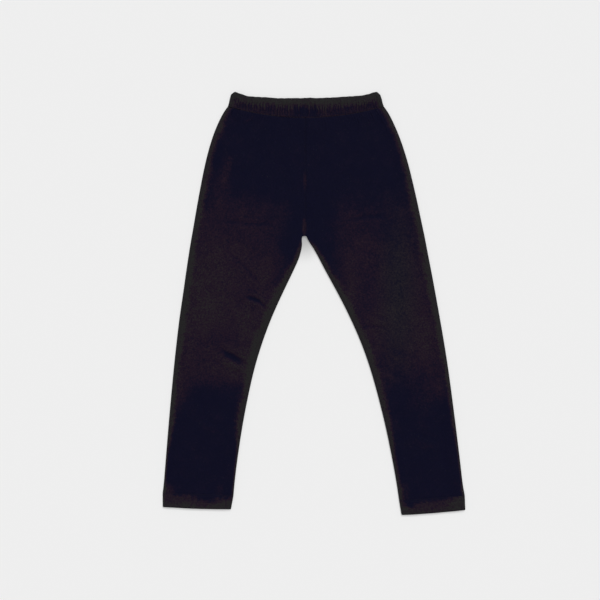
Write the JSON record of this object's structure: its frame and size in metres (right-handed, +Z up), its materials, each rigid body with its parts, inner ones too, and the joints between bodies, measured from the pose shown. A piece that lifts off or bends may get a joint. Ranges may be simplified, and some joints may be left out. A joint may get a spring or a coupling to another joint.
{
  "type": "leggings",
  "caption": "Child's ankle-length cotton jersey leggings with a gathered elastic waist casing and turned-up hems, laid flat with the front up.",
  "frame": {"origin": "on the surface that the garment lies on, in the middle of its outline's width and length", "axes": "+Y towards the waist, +X towards the wearer's left leg, +Z up out of the surface, on the side of the front"},
  "size_m": [0.4262, 0.5968, 0.007],
  "materials": {
    "jersey": "black cotton single jersey with a little elastane, matt with a soft nap",
    "casing": "the same jersey, folded over a 25 mm elastic and gathered by it",
    "hem": "the same jersey, turned up 20 mm and coverstitched"
  },
  "bodies": {
    "root": {"leg_right": "jersey", "leg_left": "jersey", "casing_right": "casing", "casing_left": "casing", "hem_right": "hem", "hem_left": "hem"}
  },
  "joints": []
}
